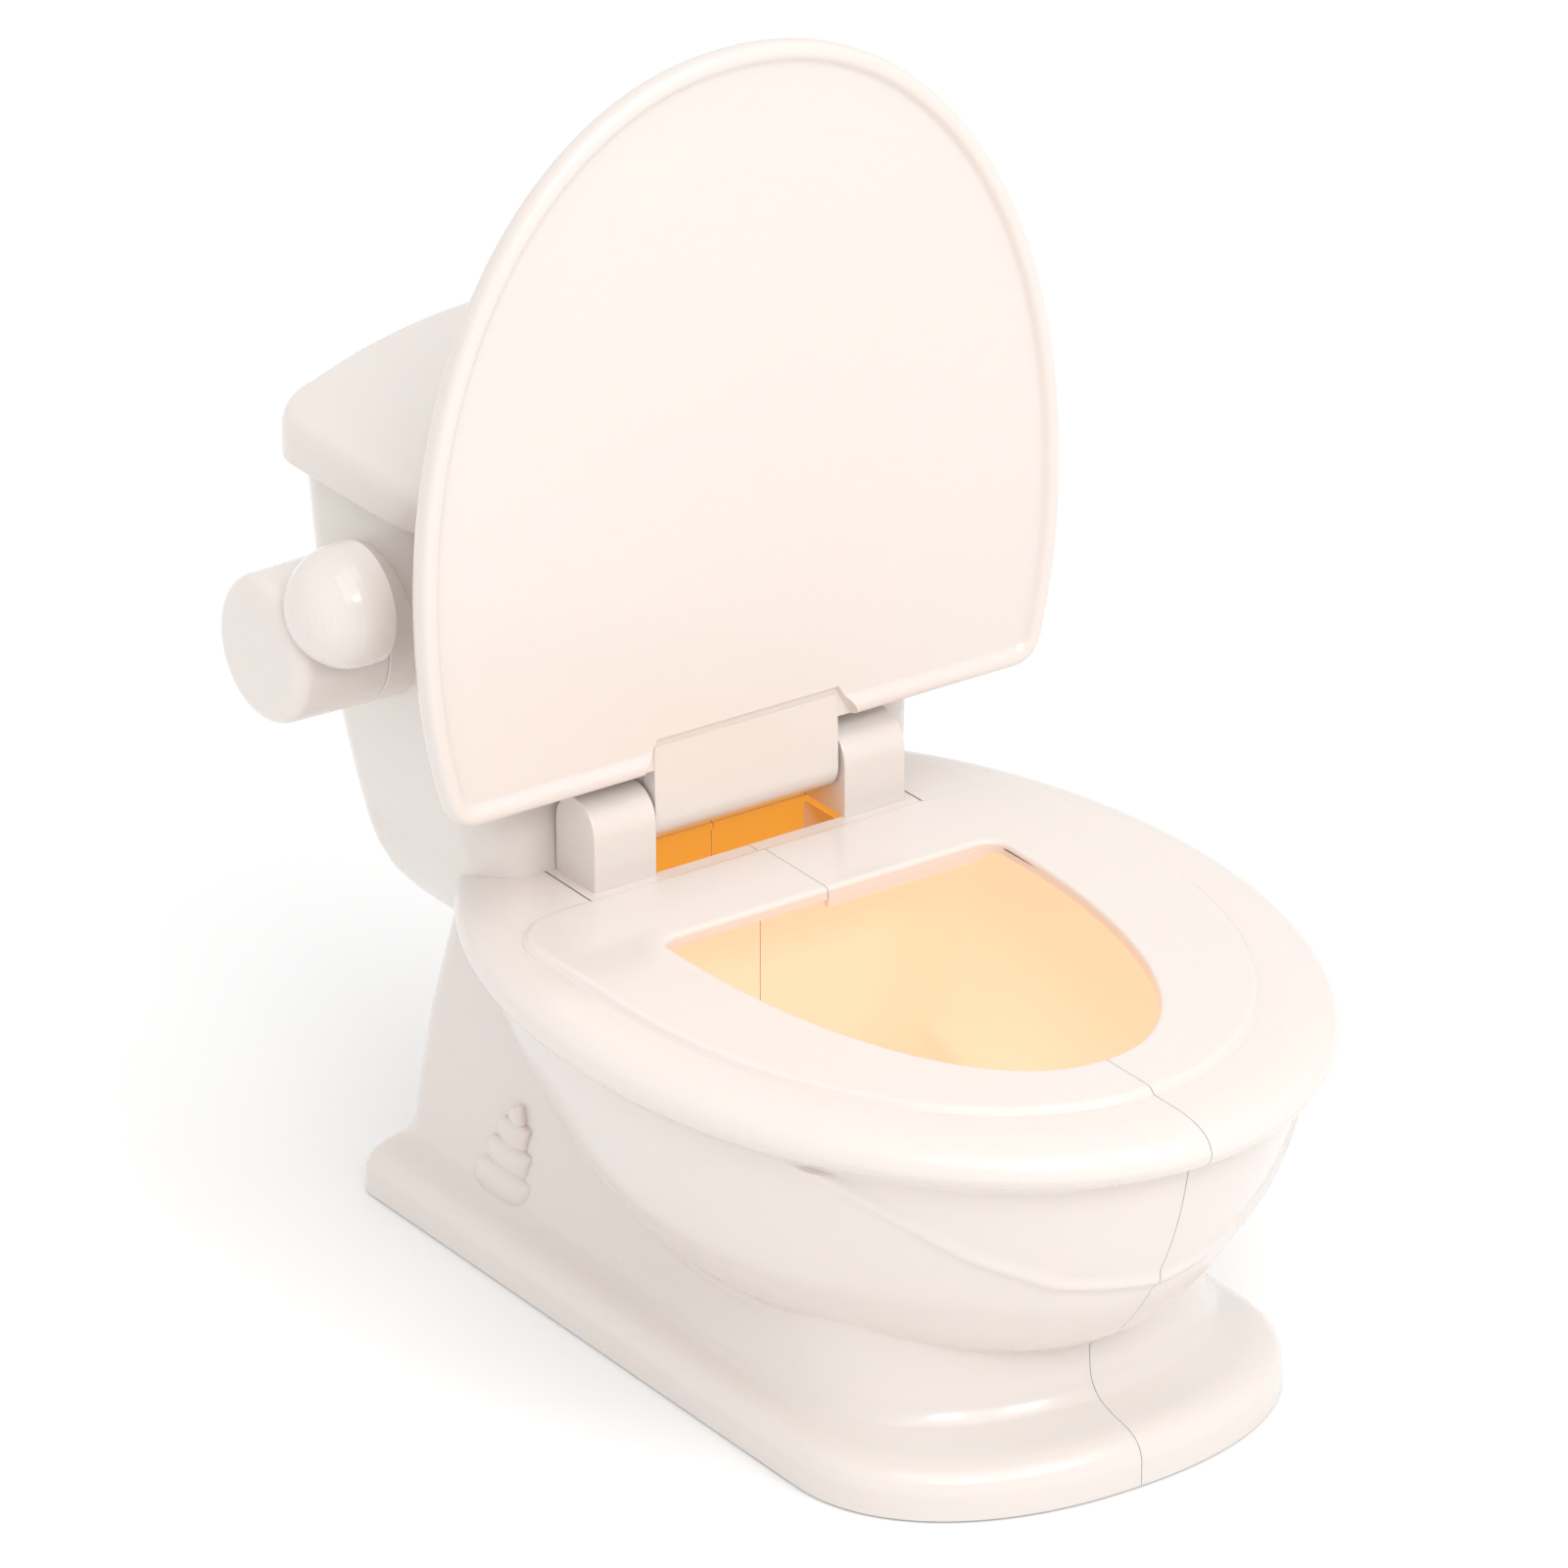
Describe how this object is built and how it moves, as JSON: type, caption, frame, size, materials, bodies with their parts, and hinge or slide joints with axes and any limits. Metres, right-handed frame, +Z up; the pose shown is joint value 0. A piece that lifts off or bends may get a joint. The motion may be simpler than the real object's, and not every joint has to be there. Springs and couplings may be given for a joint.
{
  "type": "potty training chair",
  "caption": "Toddler potty chair shaped like a small flush toilet, with a hinged lid, a lift-out pot, a lift-off tank cover and a sprung flush lever.",
  "frame": {"origin": "on the floor under the middle rubber foot, on the plane where the two half shells meet", "axes": "+Z up, the seat front faces -Y, +X to the right of a viewer who faces the front"},
  "size_m": [0.3224, 0.4773, 0.5017],
  "materials": {
    "ivory_plastic": "gloss",
    "pot_plastic": "gloss",
    "white_plastic": "satin",
    "steel": "satin",
    "grey_rubber": "matte"
  },
  "bodies": {
    "chair": {"left_shell": "ivory_plastic", "right_shell": "ivory_plastic", "tank_floor": "ivory_plastic", "base_plate": "ivory_plastic", "rubber_feet": "grey_rubber", "base_screws": "steel", "shell_screws": "steel", "shell_dowels": "ivory_plastic", "floor_screws": "steel", "hinge_pin": "steel", "lever_bush": "white_plastic", "lever_spring": "steel"},
    "lid": {"seat_lid": "ivory_plastic", "lid_panel": "ivory_plastic"},
    "cover": {"tank_cover": "ivory_plastic"},
    "pot": {"potty_pot": "pot_plastic"},
    "lever": {"lever_shaft": "white_plastic", "lever_hub": "ivory_plastic", "lever_grip": "ivory_plastic", "lever_crank": "white_plastic", "lever_washer": "steel", "lever_screw": "steel"}
  },
  "joints": [
    {"name": "lid_hinge", "type": "hinge", "parent": "chair", "child": "lid", "pos_m": [0, 0.0818, 0.1915], "axis": [1, 0, 0], "range_deg": [0, 92.6]},
    {"name": "flush_lever", "type": "hinge", "parent": "chair", "child": "lever", "pos_m": [-0.1269, 0.162, 0.2625], "axis": [1, 0, 0], "range_deg": [0, 30], "stiffness_Nm_per_rad": 0.08, "springref_deg": -34.38},
    {"name": "cover_lift", "type": "slide", "parent": "chair", "child": "cover", "axis": [0, 0, 1], "range_m": [0, 0.045]},
    {"name": "pot_lift", "type": "slide", "parent": "chair", "child": "pot", "axis": [0, 0, 1], "range_m": [0, 0.09]}
  ]
}
